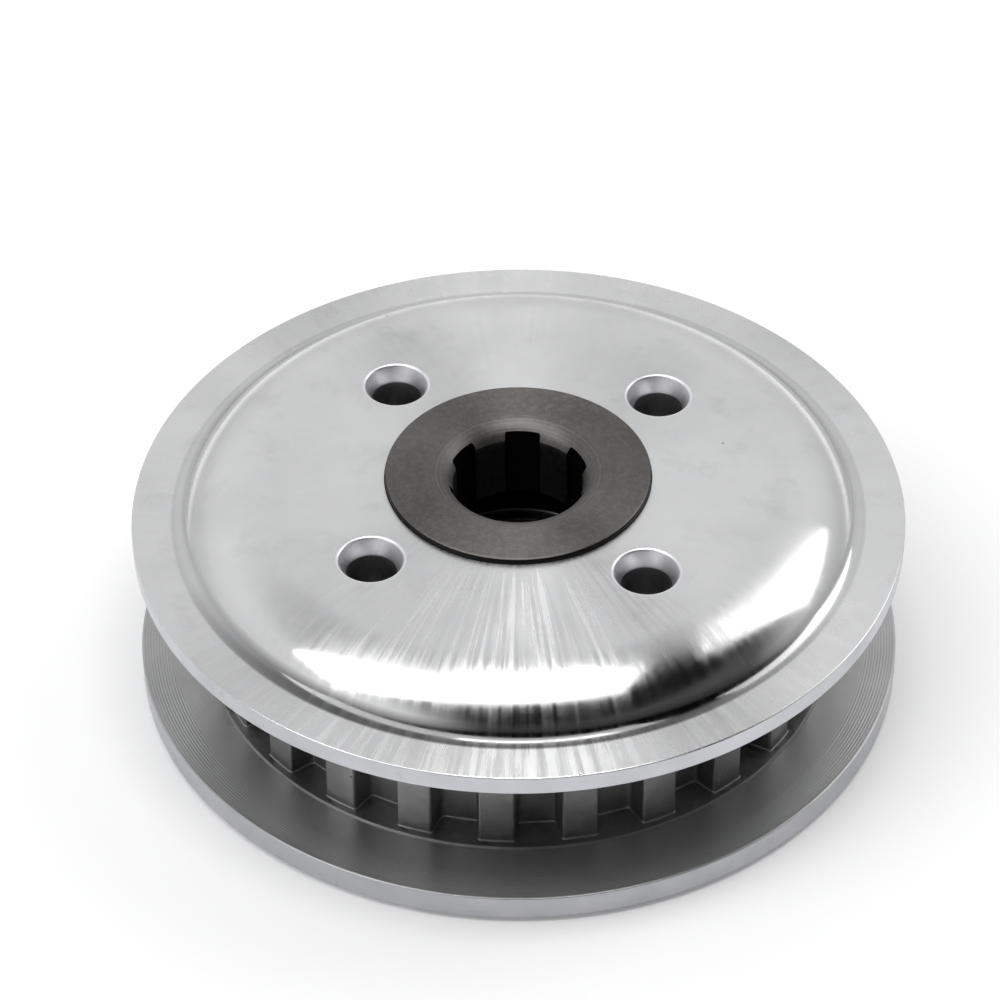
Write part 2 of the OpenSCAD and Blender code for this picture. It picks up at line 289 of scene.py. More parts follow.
class Shader:
    """A material's node tree, with short calls for the nodes that the finishes share.

    point is the place on the object in metres, radius its distance from the shaft axis, and ray
    the unit vector that points to it from the axis; ray_y is -1 on the side of the camera.
    """

    def __init__(self, name, metallic=1.0):
        self.material = bpy.data.materials.new(name)
        self.material.use_nodes = True
        self.tree = self.material.node_tree
        self.bsdf = self.tree.nodes["Principled BSDF"]
        self.bsdf.inputs["Metallic"].default_value = metallic
        self.point = self.node("ShaderNodeTexCoord").outputs["Object"]
        flat = self.node("ShaderNodeVectorMath", operation="MULTIPLY")
        self.feed(flat.inputs[0], self.point)
        flat.inputs[1].default_value = (1, 1, 0)
        length = self.node("ShaderNodeVectorMath", operation="LENGTH")
        self.feed(length.inputs[0], flat.outputs[0])
        self.radius = length.outputs["Value"]
        unit = self.node("ShaderNodeVectorMath", operation="NORMALIZE")
        self.feed(unit.inputs[0], flat.outputs[0])
        self.ray = unit.outputs[0]
        split = self.node("ShaderNodeSeparateXYZ")
        self.feed(split.inputs[0], self.ray)
        self.ray_x, self.ray_y = split.outputs["X"], split.outputs["Y"]
        self.normal = None

    def node(self, kind, **settings):
        node = self.tree.nodes.new(kind)
        for key, value in settings.items():
            setattr(node, key, value)
        return node

    def feed(self, socket, value):
        if isinstance(value, bpy.types.NodeSocket):
            self.tree.links.new(value, socket)
        else:
            socket.default_value = value

    def math(self, operation, a, b=0.0):
        node = self.node("ShaderNodeMath", operation=operation)
        self.feed(node.inputs[0], a)
        self.feed(node.inputs[1], b)
        return node.outputs[0]

    def noise(self, vector, scale, detail=3.0, roughness=0.55):
        node = self.node("ShaderNodeTexNoise")
        self.feed(node.inputs["Vector"], vector)
        node.inputs["Scale"].default_value = scale
        node.inputs["Detail"].default_value = detail
        node.inputs["Roughness"].default_value = roughness
        return node.outputs["Fac"]

    def rings(self, scale, detail=2.0):
        """Noise that changes with the radius only: the tool marks of a lathe."""
        node = self.node("ShaderNodeTexNoise", noise_dimensions="1D")
        self.feed(node.inputs["W"], self.radius)
        node.inputs["Scale"].default_value = scale
        node.inputs["Detail"].default_value = detail
        return node.outputs["Fac"]

    def chatter(self, lobes):
        """Evenly spaced rays, as a lathe tool that chatters leaves them."""
        angle = self.math("ARCTAN2", self.ray_y, self.ray_x)
        return self.math("SINE", self.math("MULTIPLY", angle, lobes))

    def rays(self, scale, drift, detail=2.0):
        """Noise that changes mainly with the angle: the radial sheen of a turned face."""
        scaled = self.node("ShaderNodeVectorMath", operation="SCALE")
        self.feed(scaled.inputs[0], self.ray)
        scaled.inputs["Scale"].default_value = scale
        slide = self.node("ShaderNodeCombineXYZ")
        self.feed(slide.inputs["Z"], self.math("MULTIPLY", self.radius, drift))
        total = self.node("ShaderNodeVectorMath", operation="ADD")
        self.feed(total.inputs[0], scaled.outputs[0])
        self.feed(total.inputs[1], slide.outputs[0])
        return self.noise(total.outputs[0], 1.0, detail)

    def span(self, value, low, high, to_low, to_high):
        node = self.node("ShaderNodeMapRange")
        self.feed(node.inputs["Value"], value)
        for key, number in (("From Min", low), ("From Max", high), ("To Min", to_low), ("To Max", to_high)):
            self.feed(node.inputs[key], number)
        return node.outputs["Result"]

    def mix(self, factor, a, b):
        node = self.node("ShaderNodeMix", data_type="RGBA")
        self.feed(node.inputs["Factor"], factor)
        self.feed(node.inputs["A"], a)
        self.feed(node.inputs["B"], b)
        return node.outputs["Result"]

    def bump(self, height, distance_mm, strength=1.0):
        """Stacks another layer of relief on the surface."""
        node = self.node("ShaderNodeBump")
        self.feed(node.inputs["Height"], height)
        node.inputs["Distance"].default_value = distance_mm * MM
        node.inputs["Strength"].default_value = strength
        if self.normal is not None:
            self.feed(node.inputs["Normal"], self.normal)
        self.normal = node.outputs["Normal"]

    def turned(self, amount):
        """Stretches the highlights across the tool marks."""
        tangent = self.node("ShaderNodeTangent", direction_type="RADIAL", axis="Z")
        self.feed(self.bsdf.inputs["Tangent"], tangent.outputs[0])
        self.bsdf.inputs["Anisotropic"].default_value = amount
        self.bsdf.inputs["Anisotropic Rotation"].default_value = 0.25

    def done(self, colour, roughness):
        self.feed(self.bsdf.inputs["Base Color"], colour)
        self.feed(self.bsdf.inputs["Roughness"], roughness)
        if self.normal is not None:
            self.feed(self.bsdf.inputs["Normal"], self.normal)
        return self.material


def grey(value, warm=0.0):
    return (value * (1 + warm), value, value * (1 - warm), 1)


def pits(shader, cell_scale, share):
    """A mask of small pits, in a share of the cells."""
    node = shader.node("ShaderNodeTexVoronoi")
    shader.feed(node.inputs["Vector"], shader.point)
    node.inputs["Scale"].default_value = cell_scale
    near = shader.span(node.outputs["Distance"], 0.03, 0.06, 1.0, 0.0)
    pick = shader.node("ShaderNodeSeparateColor")
    shader.feed(pick.inputs[0], node.outputs["Color"])
    chosen = shader.math("LESS_THAN", pick.outputs[0], share)
    return shader.math("MULTIPLY", near, chosen)


def turned_aluminium():
    """The bright lathe-turned dome and land, with a fan of fine rays towards the camera's side."""
    s = Shader("turned_aluminium")
    cloud = s.noise(s.point, 55, 5)
    smear = s.noise(s.point, 160, 4, 0.65)
    scratch_and_glint_rays = s.rays(75, 120)
    pit = pits(s, 190, 0.16)
    s.bump(scratch_and_glint_rays, 0.0010)
    s.bump(s.rings(2600, 3), 0.0012)
    s.bump(s.math("MULTIPLY", pit, -1.0), 0.08)

    # The rays are strong in front, faint elsewhere, and fade out beside the boss.
    front = s.span(s.ray_y, -0.95, -0.50, 1.0, 0.18)
    front = s.math("MULTIPLY", front, s.span(s.radius, (BOSS_R + 0.5) * MM, (BOSS_R + 5) * MM, 0.35, 1.0))
    fan = s.math("ADD", s.rays(55, 60, 3), s.math("MULTIPLY", s.chatter(118), 0.045))
    fan = s.math("ADD", s.math("MULTIPLY", s.math("SUBTRACT", fan, 0.5), front), 0.5)

    # Painted shade: a dark line lies in the dome's foot, strongest on the camera's side.
    foot = s.math(
        "MULTIPLY",
        s.span(s.radius, (LAND_R - 2.4) * MM, (LAND_R - 1.6) * MM, 0.0, 0.88),
        s.span(s.radius, LAND_R * MM, (LAND_R + 0.4) * MM, 1.0, 0.0)
    )
    foot = s.math("MULTIPLY", foot, s.span(s.ray_y, -0.90, -0.40, 1.0, 0.22))

    # Painted glints: faint warm and cool tints along the scratch rays, strongest on the camera's side.
    warm = s.math("MULTIPLY", s.span(scratch_and_glint_rays, 0.58, 0.66, 0.0, 0.22), front)
    cool = s.math("MULTIPLY", s.span(scratch_and_glint_rays, 0.42, 0.34, 0.0, 0.22), front)
    base = s.mix(s.span(cloud, 0.4, 0.68, 0.0, 1.0), grey(0.81), grey(0.72))
    base = s.mix(s.span(smear, 0.54, 0.70, 0.0, 0.30), base, grey(0.60))
    base = s.mix(warm, base, (0.84, 0.80, 0.74, 1))
    base = s.mix(cool, base, (0.72, 0.78, 0.86, 1))
    # The dome's foot gets its painted shade here.
    base = s.mix(foot, base, grey(0.08))
    base = s.mix(pit, base, grey(0.22))

    # The top is satin, its rounded edge is polished, and the land lies between the two.
    on_crown = s.span(s.radius, 38.5 * MM, 41.5 * MM, 1.0, 0.45)
    on_land = s.span(s.radius, (LAND_R - 1) * MM, LAND_R * MM, 0.0, 1.0)
    crown = s.math("MULTIPLY", s.span(fan, 0.38, 0.64, 0.16, 0.29), on_crown)
    land = s.math("MULTIPLY", s.span(fan, 0.38, 0.64, 0.10, 0.20), on_land)
    rough = s.math("ADD", s.math("ADD", crown, land), s.span(smear, 0.4, 0.7, 0.0, 0.04))
    s.turned(0.97)
    return s.done(base, rough)


def rim_aluminium(name, shade):
    """The outside of a flange, faintly cool, with a few darker scuffs."""
    s = Shader(name)
    cloud = s.noise(s.point, 120, 4)
    scuff = s.noise(s.point, 420, 5, 0.7)
    s.bump(s.noise(s.point, 900, 3), 0.006)
    cool, plain = (shade, shade, shade * 1.06, 1), grey(shade * 0.88, -0.03)
    base = s.mix(s.span(cloud, 0.35, 0.7, 0.0, 1.0), cool, plain)
    base = s.mix(s.span(scuff, 0.60, 0.72, 0.0, 0.35), base, grey(shade * 0.5, 0.05))
    return s.done(base, s.span(cloud, 0.3, 0.7, 0.30, 0.38))


def tumbled_aluminium():
    """The rounded lips of the four holes."""
    s = Shader("tumbled_aluminium")
    cloud = s.noise(s.point, 260, 4)
    s.bump(s.noise(s.point, 1300, 4), 0.004)
    light, dull = (0.92, 0.92, 0.94, 1), (0.76, 0.76, 0.78, 1)
    base = s.mix(s.span(cloud, 0.35, 0.7, 0.0, 1.0), light, dull)
    return s.done(base, s.span(cloud, 0.3, 0.7, 0.32, 0.44))


def cast_aluminium():
    """The toothed drum, the insides and the web: dark, rippled and pitted, as the mould left them."""
    s = Shader("cast_aluminium")
    cloud = s.noise(s.point, 90, 5)
    grain = s.noise(s.point, 1500, 4, 0.6)
    ripple = s.noise(s.point, 350, 3)
    pit = pits(s, 260, 0.25)
    s.bump(ripple, 0.10)
    s.bump(grain, 0.03)
    s.bump(s.math("MULTIPLY", pit, -1.0), 0.1)
    base = s.mix(s.span(cloud, 0.35, 0.7, 0.0, 1.0), grey(0.30), grey(0.19))
    base = s.mix(s.span(ripple, 0.5, 0.75, 0.0, 0.5), base, grey(0.36, 0.01))
    base = s.mix(pit, base, grey(0.10))
    rough = s.span(grain, 0.3, 0.7, 0.38, 0.52)
    return s.done(base, rough)


def faced_aluminium():
    """The lathe-cut friction faces and rims of the pressure wheel."""
    s = Shader("faced_aluminium")
    cloud = s.noise(s.point, 80, 5)
    fine = s.rings(5200, 2)
    groove_pitch = 0.38
    groove = s.math("SINE", s.math("MULTIPLY", s.radius, FULL_TURN / (groove_pitch * MM)))
    groove = s.math("MULTIPLY", groove, s.span(s.radius, 46.2 * MM, 47.4 * MM, 0.1, 1.0))
    sheen = s.rays(15, 25)
    s.bump(sheen, 0.012)
    s.bump(groove, 0.011)
    s.bump(fine, 0.010)
    base = s.mix(s.span(cloud, 0.35, 0.7, 0.0, 1.0), grey(0.56), grey(0.46))
    base = s.mix(s.span(groove, -1.0, 1.0, 0.0, 0.16), base, grey(0.25))
    rough = s.span(cloud, 0.3, 0.7, 0.30, 0.40)
    s.turned(0.55)
    return s.done(base, rough)


def boss_steel():
    """Dark grained steel, with tool marks in the rounded mouth."""
    s = Shader("boss_steel")
    cloud = s.noise(s.point, 120, 4)
    grain = s.noise(s.point, 1500, 4, 0.75)
    at_mouth = s.span(s.radius, (MOUTH_R - 0.4) * MM, (MOUTH_R + 1.1) * MM, 1.0, 0.12)
    s.bump(grain, 0.035)
    tool_marks = s.rings(3200, 3)
    s.bump(s.math("MULTIPLY", tool_marks, at_mouth), 0.03)
    base = s.mix(s.span(cloud, 0.35, 0.7, 0.0, 1.0), grey(0.145, 0.05), grey(0.115, 0.05))
    base = s.mix(s.span(grain, 0.45, 0.70, 0.0, 0.6), base, grey(0.22, 0.04))
    bright = s.math("MULTIPLY", s.span(tool_marks, 0.45, 0.62, 0.0, 0.4), at_mouth)
    base = s.mix(bright, base, grey(0.22, 0.02))
    s.turned(0.8)
    return s.done(base, s.span(grain, 0.3, 0.7, 0.38, 0.50))


def bore_steel():
    """The oiled, blackened spline, with painted shade that makes it darkest in its slots."""
    s = Shader("bore_steel")
    grain = s.noise(s.point, 1900, 4, 0.7)
    s.bump(grain, 0.02)
    base = s.mix(s.span(grain, 0.35, 0.7, 0.0, 1.0), grey(0.05), grey(0.08))
    # Painted shade in the slots.
    slot_painted_shade = s.span(s.radius, (MINOR_R + 0.15) * MM, (MINOR_R + 0.4) * MM, 0.0, 0.85)
    base = s.mix(slot_painted_shade, base, grey(0.008))
    return s.done(base, s.span(grain, 0.3, 0.7, 0.42, 0.6))


def spring_wire():
    """Oil-tempered wire."""
    s = Shader("spring_wire")
    cloud = s.noise(s.point, 220, 4)
    s.bump(s.noise(s.point, 1800, 3), 0.01)
    base = s.mix(s.span(cloud, 0.35, 0.7, 0.0, 1.0), grey(0.20, -0.03), grey(0.11, -0.02))
    return s.done(base, s.span(cloud, 0.3, 0.7, 0.28, 0.42))


def zinc_plate():
    """Bright zinc on the bolts and retainers."""
    s = Shader("zinc_plate")
    cloud = s.noise(s.point, 260, 4)
    grain = s.noise(s.point, 2400, 3)
    s.bump(grain, 0.008)
    base = s.mix(s.span(cloud, 0.35, 0.7, 0.0, 1.0), (0.66, 0.68, 0.71, 1), (0.54, 0.55, 0.56, 1))
    return s.done(base, s.span(cloud, 0.3, 0.7, 0.22, 0.36))


def ground_steel():
    """The bearing's rings and balls."""
    s = Shader("ground_steel")
    cloud = s.noise(s.point, 150, 3)
    s.bump(s.rings(4200, 2), 0.002)
    base = s.mix(s.span(cloud, 0.35, 0.7, 0.0, 1.0), grey(0.68), grey(0.60, -0.02))
    s.turned(0.4)
    return s.done(base, s.span(cloud, 0.3, 0.7, 0.12, 0.2))


def pressed_steel():
    """The bearing's cage."""
    s = Shader("pressed_steel")
    grain = s.noise(s.point, 900, 4)
    s.bump(grain, 0.012)
    base = s.mix(s.span(grain, 0.35, 0.7, 0.0, 1.0), grey(0.46, 0.04), grey(0.36, 0.05))
    return s.done(base, s.span(grain, 0.3, 0.7, 0.26, 0.4))


def black_steel():
    """The phosphated circlip."""
    s = Shader("black_steel", metallic=0.8)
    grain = s.noise(s.point, 1600, 4)
    s.bump(grain, 0.012)
    base = s.mix(s.span(grain, 0.35, 0.7, 0.0, 1.0), grey(0.045), grey(0.09))
    return s.done(base, s.span(grain, 0.3, 0.7, 0.35, 0.5))


def hardened_steel():
    """The push piece."""
    s = Shader("hardened_steel")
    cloud = s.noise(s.point, 200, 4)
    s.bump(s.rings(3000, 2), 0.004)
    base = s.mix(s.span(cloud, 0.35, 0.7, 0.0, 1.0), grey(0.16, 0.02), grey(0.11, 0.04))
    s.turned(0.5)
    return s.done(base, s.span(cloud, 0.3, 0.7, 0.25, 0.38))


def paint(obj, *materials, pick=None):
    """Gives a piece its materials. pick(centre in mm, normal) returns the slot number of a face."""
    obj.data.materials.clear()
    for m in materials:
        obj.data.materials.append(m)
    for face in obj.data.polygons:
        face.material_index = pick(face.center / MM, face.normal) if pick else 0


def place(obj, body, slot, *nodes):
    """Hangs a finished piece on its body, in place of its CAD nodes."""
    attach(obj, body)
    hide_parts(*nodes)
    return obj


# ---- pressure wheel ----


def drum_outline():
    """The toothed outline, with rounded tips and valleys, in the order of the angle."""
    pitch = FULL_TURN / TEETH
    half = TOOTH_W / 2
    foot = half + 0.22
    valley_steps = 4
    corners = []
    for i in range(TEETH):
        a = pitch * i
        c, s = math.cos(a), math.sin(a)
        tip_x = math.sqrt(TIP_R**2 - half**2)
        root_x = math.sqrt(ROOT_R**2 - foot**2)
        for x, y, r in (
            (root_x, -foot, 0.9), (tip_x, -half, 0.35), (TIP_R, 0, 0), (tip_x, half, 0.35),
            (root_x, foot, 0.9)
        ):
            corners.append((x * c - y * s, x * s + y * c, r))
        for k in range(1, valley_steps):
            edge = math.asin(foot / ROOT_R)
            b = a + edge + (pitch - 2 * edge) * k / valley_steps
            corners.append((ROOT_R * math.cos(b), ROOT_R * math.sin(b), 0))
    return fillet(corners, step_deg=22)


def outset(points, d):
    """The outline moved outward by d."""
    moved_points = []
    count = len(points)
    for i, (x, y) in enumerate(points):
        ax, ay = points[i - 1]
        bx, by = points[(i + 1) % count]
        normal = Vector((by - ay, ax - bx)).normalized()
        moved_points.append((x + normal.x * d, y + normal.y * d))
    return moved_points


def pressure_wheel():
    """One casting: the flange with its bearing boss, the toothed drum, four spring cups and the ribs."""
    outline = drum_outline()
    n = len(outline)
    start = math.atan2(outline[0][1], outline[0][0])

    def even(r, z):
        return circle(r, z, n, start)

    def toothed(d, z):
        return [(x, y, z) for x, y in outset(outline, d)]

    # From the drum's inside over the bearing boss, down its bore and out to the friction face.
    flange = fillet([
        (DRUM_R, 5.2, 1.2), (16.2, 5.2, 1.0), (16.2, 13.6, 0.3), (13.01, 13.6, 0.25), (13.01, 12.9, 0),
        (13.8, 12.9, 0), (13.8, 11.6, 0), (13.01, 11.6, 0), (13.01, 3.6, 0.15), (10.5, 3.6, 0.2),
        (10.5, 0.6, 0.3), (16.2, 0.6, 0.4), (16.2, 1.8, 0.6), (43.0, 1.8, 0.6), (44.0, 0, 0.25),
        (FLANGE_R - 0.9, 0, 0.12), (FLANGE_R, 0.9, 0.12), (FLANGE_R, FACE_Z, 0.22),
        (FRICTION_R, FACE_Z, 0), (FRICTION_R - 0.2, FLOOR_Z, 0.1), (FRICTION_R - 0.4, FLOOR_Z, 0)
    ], closed=False)
    rings = [even(r, z) for r, z in flange]
    foot_steps = 5
    for i in range(foot_steps + 1):
        a = math.pi / 2 * i / foot_steps
        rings.append(toothed(FOOT_R * (1 - math.sin(a)), FLOOR_Z + FOOT_R * (1 - math.cos(a))))
    top = DRUM_SEAT_Z - 0.01
    rings += [toothed(0, top - 0.25), toothed(-0.07, top - 0.07), toothed(-0.25, top)]
    rings += [even(DRUM_R + 0.3, top), even(DRUM_R, top - 0.3)]
    wheel = loft("pressure_wheel_casting", rings)

    def cup():
        return revolve("cup", [
            (0.05, 0.6, 0), (CUP_R, 0.6, 0.4), (CUP_R, CUP_TOP_Z, 0.8), (0.05, CUP_TOP_Z, 0)
        ], 96, closed=False)

    def pocket():
        return revolve("pocket", [
            (0.05, -1, 0), (POCKET_R + 2, -1, 0), (POCKET_R + 0.4, 0.6, 0), (POCKET_R, 1.0, 0),
            (POCKET_R, POCKET_SEAT_Z, 0.5), (GUIDE_R, POCKET_SEAT_Z, 0), (GUIDE_R, CUP_TOP_Z - 0.4, 0),
            (GUIDE_R + 0.5, CUP_TOP_Z + 0.1, 0), (GUIDE_R + 0.5, CUP_TOP_Z + 1, 0), (0.05, CUP_TOP_Z + 1, 0)
        ], 96, closed=False)

    rib_w, rib_z = 3, 0.6
    ribs = []
    for i in range(4):
        long_rib = block("rib", (29, rib_w, 3), (15, -rib_w / 2, rib_z), 0.5)
        stub = block("rib", (9.8, rib_w, 3), (34.3, -rib_w / 2, rib_z), 0.5)
        ribs += [moved(long_rib, turn_deg=90 * i), moved(stub, turn_deg=45 + 90 * i)]
    cut(wheel, "UNION", at_posts(cup))
    cut(wheel, "UNION", ribs)
    cut(wheel, "DIFFERENCE", at_posts(pocket))
    tidy(wheel)
    weigh_normals(wheel)
    return wheel


def wheel_finish(centre, normal):
    """0 is as cast, 1 is lathe-cut, 2 is the rim."""
    r = math.hypot(centre.x, centre.y)
    if r > FLANGE_R - 0.7 and abs(normal.z) < 0.8:
        return 2
    faced = r > FRICTION_R - 0.1 and (centre.z < FACE_Z + 0.05 and normal.z > -0.5 or centre.z < 0.3)
    bore = r < 15.6 and normal.z > -0.5 and 3 < centre.z
    return 1 if faced or bore and r < 14 else 0


# ---- hub ----


def hub_profile():
    """The closed section of the hub: inside, skirt, flange, land, foot, rounded shoulder and flat top."""
    shoulder_r, fillet_r = 12, 2.4
    rise = DOME_Z - LAND_Z
    slope = math.degrees(math.acos(1 - rise / (shoulder_r + fillet_r)))
    shoulder_x = LAND_R - (shoulder_r + fillet_r) * math.sin(math.radians(slope))
    boss_floor_z = 25.2
    top_steps = 10
    inner = BOSS_R + 0.01
    crown = [
        (shoulder_x + (inner - shoulder_x) * k / top_steps, DOME_Z, 0) for k in range(1, top_steps)
    ]
    return [
        (BARREL_R + 0.01, boss_floor_z, 0.2), (19, boss_floor_z, 0.8), (20, CEILING_Z, 0.8),
        (SKIRT_R, CEILING_Z, 1.5), (SKIRT_R, DRUM_SEAT_Z, 0.2), (FRICTION_R - 0.2, DRUM_SEAT_Z, 0.1),
        (FRICTION_R, SEAT_Z, 0.05), (FLANGE_R, SEAT_Z, 0.25), (FLANGE_R, LAND_Z, 0.2), (48, LAND_Z, 0),
        *arc(LAND_R, LAND_Z + fillet_r, fillet_r, 270, 270 - slope, 14),
        *arc(shoulder_x, DOME_Z - shoulder_r, shoulder_r, 90 - slope, 90, 36)[1:],
        *crown,
        (inner, DOME_Z, 0.12), (inner, BOSS_SEAT_Z, 0), (BARREL_R + 0.01, BOSS_SEAT_Z, 0)
    ]


def hub_casting():
    """The turned shell, four posts with their holes, and the pockets that key it to the boss."""
    hub = revolve("hub_shell", hub_profile(), 512)

    def post():
        return revolve("post", [
            (0.05, POST_END_Z, 0), (POST_R, POST_END_Z, 0.4), (POST_R, CEILING_Z, 1.2),
            (POST_R + 1.4, CEILING_Z + 0.02, 0), (POST_R + 1.4, CEILING_Z + 1, 0), (0.05, CEILING_Z + 1, 0)
        ], 96, closed=False)

    def hole():
        above = HOLE_MOUTH_R + 0.6
        return revolve("hole", [
            (0.05, POST_END_Z - 1, 0), (THREAD_R + 0.6, POST_END_Z - 1, 0), (THREAD_R + 0.5, POST_END_Z, 0),
            (THREAD_R, POST_END_Z + 0.5, 0), (THREAD_R, DOME_Z - 6.0, 0), (HOLE_R - 0.1, DOME_Z - 3.4, 1.5),
            (HOLE_R, DOME_Z - HOLE_FLARE_H, 1.5), (HOLE_MOUTH_R, DOME_Z, 0.9), (above, DOME_Z + 0.0005, 0),
            (above, DOME_Z + 1, 0), (0.05, DOME_Z + 1, 0)
        ], 128, closed=False)

    ribs, pockets = [], []
    for i in range(4):
        rib = block("rib", (19.5, 4, 3), (18, -2, CEILING_Z - 2.0), 0.5)
        pocket = block("key", (5.4, 5.02, 2), (11.1, -2.51, BOSS_SEAT_Z - 1.41), 0.05)
        ribs.append(moved(rib, turn_deg=45 + 90 * i))
        pockets.append(moved(pocket, turn_deg=90 * i))
    cut(hub, "UNION", at_posts(post))
    cut(hub, "UNION", ribs)
    cut(hub, "DIFFERENCE", at_posts(hole))
    cut(hub, "DIFFERENCE", pockets)
    tidy(hub)
    weigh_normals(hub)
    return hub


def hub_finish(centre, normal):
    """0 is turned, 1 is as cast, 2 is the rim, 3 is the lip of a hole."""
    r = math.hypot(centre.x, centre.y)
    across = POST_RING_R * math.sqrt(0.5)
    from_post = math.hypot(abs(centre.x) - across, abs(centre.y) - across)
    if from_post < HOLE_MOUTH_R + 0.29 and normal.z < 0.9999:
        return 3 if centre.z > DOME_Z - HOLE_FLARE_H + 0.1 else 1
    if r > FLANGE_R - 0.05 and abs(normal.z) < 0.6:
        return 2
    outside = r > SKIRT_R - 0.1 or centre.z > LAND_Z and r > BOSS_R
    return 0 if outside else 1


# ---- splined boss ----


def spline_outline():
    """The bore with its six slots, in the order of the angle; one slot points to +Y."""
    half = SLOT_W / 2
    pitch = FULL_TURN / SPLINES
    corners = []
    for i in range(SPLINES):
        a = math.pi / 2 + pitch * i
        c, s = math.cos(a), math.sin(a)
        low, high = math.sqrt(MINOR_R**2 - half**2), math.sqrt(MAJOR_R**2 - half**2)
        slot = [(low, -half, 0.25), (high, -half, 0.3)]
        slot += [(math.sqrt(MAJOR_R**2 - y * y), y, 0) for y in (-1.2, 0, 1.2)]
        slot += [(high, half, 0.3), (low, half, 0.25)]
        corners += [(x * c - y * s, x * s + y * c, r) for x, y, r in slot]
        edge = math.asin(half / MINOR_R)
        for k in range(1, 6):
            b = a + edge + (pitch - 2 * edge) * k / 6
            corners.append((MINOR_R * math.cos(b), MINOR_R * math.sin(b), 0))
    return fillet(corners, step_deg=18)


def splined_boss():
    """A ring of circles from the bore's exit over the head to the mouth, which then takes up the slots."""
    outline = spline_outline()
    n = len(outline)
    start = math.atan2(outline[0][1], outline[0][0])
    own_angles = [(math.atan2(y, x) - start) % FULL_TURN for x, y in outline]

    def ring(r, z, share=0.0):
        """A circle whose points go from even steps to the angles of the outline's points."""
        points = []
        for k, own in enumerate(own_angles):
            a = start + FULL_TURN * k / n * (1 - share) + own * share
            points.append((r * math.cos(a), r * math.sin(a), z))
        return points

    def mouth_z(r):
        """Height of the rounded mouth at a radius."""
        across = min(MOUTH_ROUND_R, MOUTH_R - r)
        return BOSS_Z - MOUTH_ROUND_R + math.sqrt(MOUTH_ROUND_R**2 - across**2)

    exit_r = MAJOR_R + 0.55
    rings = [ring(r, z) for r, z in fillet([
        (exit_r, BOSS_LOW.z, 0), (BARREL_R, BOSS_LOW.z, 0.8), (BARREL_R, BOSS_SEAT_Z, 0),
        (BOSS_R, BOSS_SEAT_Z, 0.2), (BOSS_R, BOSS_Z, 0.4), (MOUTH_R, BOSS_Z, 0)
    ], closed=False)]
    neck_r = MAJOR_R + 0.2
    mouth_steps, slot_steps = 8, 9
    for k in range(1, mouth_steps + 1):
        r = MOUTH_R - (MOUTH_R - neck_r) * k / mouth_steps
        rings.append(ring(r, mouth_z(r), k / mouth_steps))
    for k in range(1, slot_steps + 1):
        t = math.sin(math.pi / 2 * k / slot_steps)
        slotted = []
        for (x, y, _), (ox, oy) in zip(ring(neck_r, 0, 1), outline):
            px, py = x + (ox - x) * t, y + (oy - y) * t
            slotted.append((px, py, mouth_z(math.hypot(px, py))))
        rings.append(slotted)
    rings += [[(x, y, z) for x, y in outline] for z in (28, 26, 24, 22)]
    rings += [[(x, y, BOSS_LOW.z + 0.6 * (exit_r - math.hypot(x, y))) for x, y in outline]]
    boss = loft("boss_forging", rings)
    keys = []
    for i in range(4):
        key = block("key", (5.0, 5, 2), (11.4, -2.5, BOSS_SEAT_Z - 1.4), 0.1)
        keys.append(moved(key, turn_deg=90 * i))
    cut(boss, "UNION", keys)
    tidy(boss)
    weigh_normals(boss)
    return boss


def boss_finish(centre, normal):
    """0 is the grained top and its mouth, 1 is the oiled bore and the wall in the dome."""
    r = math.hypot(centre.x, centre.y)
    bore = r < MAJOR_R + 0.05 and abs(normal.z) < 0.3
    wall = r > BOSS_R - 0.15 and abs(normal.z) < 0.7
    return 1 if bore or wall or centre.z < BOSS_SEAT_Z - 0.1 else 0


# ---- springs, retainers and bolts ----

WIRE_R = 1.0
COIL_R = 7.6
TURNS = 4.5


def clutch_spring():
    """Round wire in a helix, with a closed turn ground flat at each end."""
    steps, sides = 48, 20
    rise = SPRING_HIGH - SPRING_LOW - 2 * WIRE_R
    end_pitch = 2 * WIRE_R + 0.05
    mid_pitch = (rise - 2 * end_pitch) / (TURNS - 2)

    def height(u):
        if u < 1:
            return end_pitch * u
        if u > TURNS - 1:
            return rise - end_pitch * (TURNS - u)
        return end_pitch + mid_pitch * (u - 1)

    rings = []
    for i in range(int(steps * TURNS) + 1):
        u = i / steps
        smooth = sum(height(min(max(u + k * 0.02, 0), TURNS)) for k in range(-4, 5)) / 9
        a = FULL_TURN * u
        ring = []
        for j in range(sides):
            b = FULL_TURN * j / sides
            r = COIL_R + WIRE_R * math.cos(b)
            z = SPRING_LOW + WIRE_R * 0.62 + smooth * (rise + 0.76 * WIRE_R) / rise + WIRE_R * math.sin(b)
            ring.append((r * math.cos(a), r * math.sin(a), min(max(z, SPRING_LOW), SPRING_HIGH)))
        rings.append(ring)
    return loft("coil", rings, closed=False)


def spring_retainer():
    """A washer with a collar that centres it on the post's end."""
    low = POST_END_Z - RETAINER_H
    return revolve("retainer", [
        (THREAD_R + 0.2, low, 0.2), (8.9, low, 0.3), (8.9, POST_END_Z, 0.25), (6.35, POST_END_Z, 0.15),
        (6.25, POST_END_Z + 0.8, 0.15), (5.95, POST_END_Z + 0.8, 0.1), (5.95, POST_END_Z, 0.1),
        (THREAD_R + 0.2, POST_END_Z, 0.2)
    ], 128)


